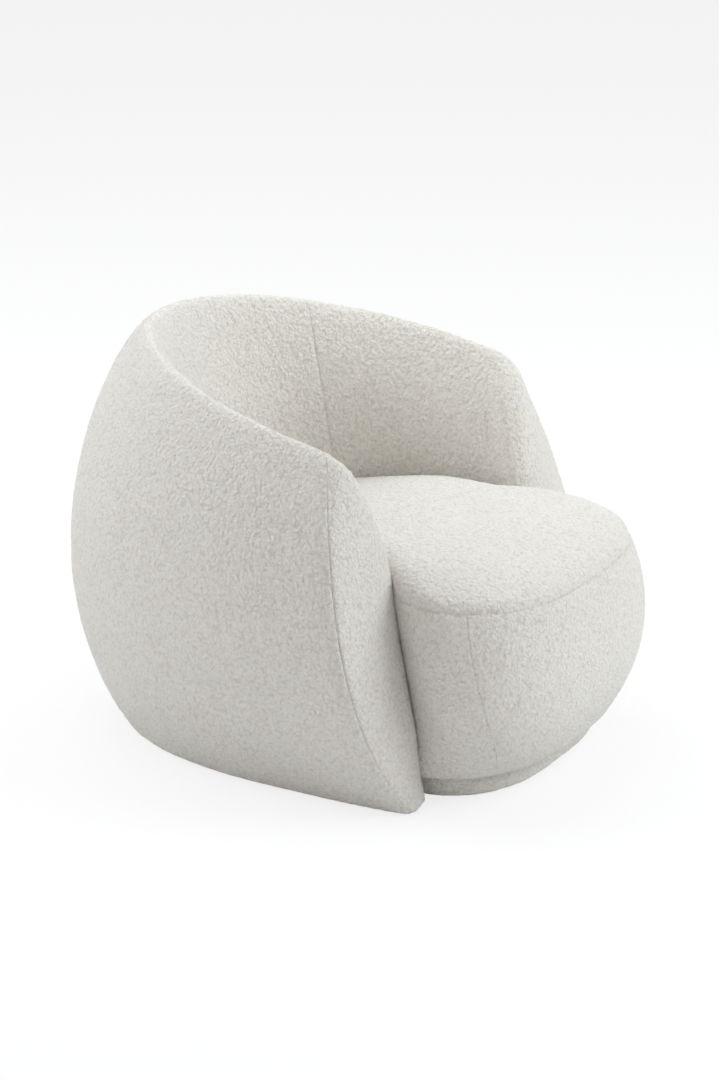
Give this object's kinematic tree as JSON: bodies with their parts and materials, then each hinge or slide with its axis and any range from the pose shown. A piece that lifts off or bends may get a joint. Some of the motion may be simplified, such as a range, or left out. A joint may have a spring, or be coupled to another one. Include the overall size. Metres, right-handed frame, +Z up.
{
  "type": "tub chair",
  "caption": "Low tub armchair: a thick padded shell wraps a deep boxed pebble seat on a set-back plinth, all in off-white boucle.",
  "frame": {"origin": "on the floor under the middle of the chair's bounding box", "axes": "+Z up, -Y the way a sitter faces, +X the sitter's left-hand side seen from the front as right"},
  "size_m": [0.8532, 1.0036, 0.7001],
  "materials": {
    "boucle": "off-white looped boucle cloth, matte",
    "lining": "plain woven lining cloth",
    "foam": "cut polyurethane foam",
    "webbing": "woven elastic webbing",
    "dust_cloth": "thin non-woven cloth",
    "fibreboard": "bent thin fibreboard",
    "plywood": "raw birch plywood",
    "steel": "zinc plated",
    "glide_plastic": "moulded nylon"
  },
  "bodies": {
    "root": {"outer_cover_left": "boucle", "outer_cover_right": "boucle", "inner_cover_left": "boucle", "inner_cover_back": "boucle", "inner_cover_right": "boucle", "arm_front_cover_left": "boucle", "arm_front_cover_right": "boucle", "outer_foam": "foam", "inner_foam": "foam", "arm_front_foam_left": "foam", "arm_front_foam_right": "foam", "outer_liner": "fibreboard", "arm_liner_left": "fibreboard", "arm_liner_right": "fibreboard", "back_webbing": "webbing", "top_rail": "plywood", "seat_rail": "plywood", "base_rail": "plywood", "rib_back_middle": "plywood", "rib_back_left": "plywood", "rib_back_right": "plywood", "rib_corner_left": "plywood", "rib_corner_right": "plywood", "rib_side_left": "plywood", "rib_side_right": "plywood", "arm_front_board_left": "plywood", "arm_front_board_right": "plywood", "seat_top_cover": "boucle", "seat_band_front": "boucle", "seat_band_left": "boucle", "seat_band_right": "boucle", "seat_band_back": "lining", "seat_topper": "foam", "seat_foam_core": "foam", "seat_band_pad": "foam", "seat_webbing_long": "webbing", "seat_webbing_cross": "webbing", "seat_top_ring": "plywood", "seat_posts": "plywood", "seat_skirt_board": "fibreboard", "seat_base_plate": "plywood", "plinth_cover": "boucle", "plinth_top_board": "plywood", "plinth_low_board": "plywood", "joining_plates": "steel", "plate_screws": "steel", "dust_cover": "dust_cloth", "glides": "glide_plastic", "glide_screws": "steel"}
  },
  "joints": []
}
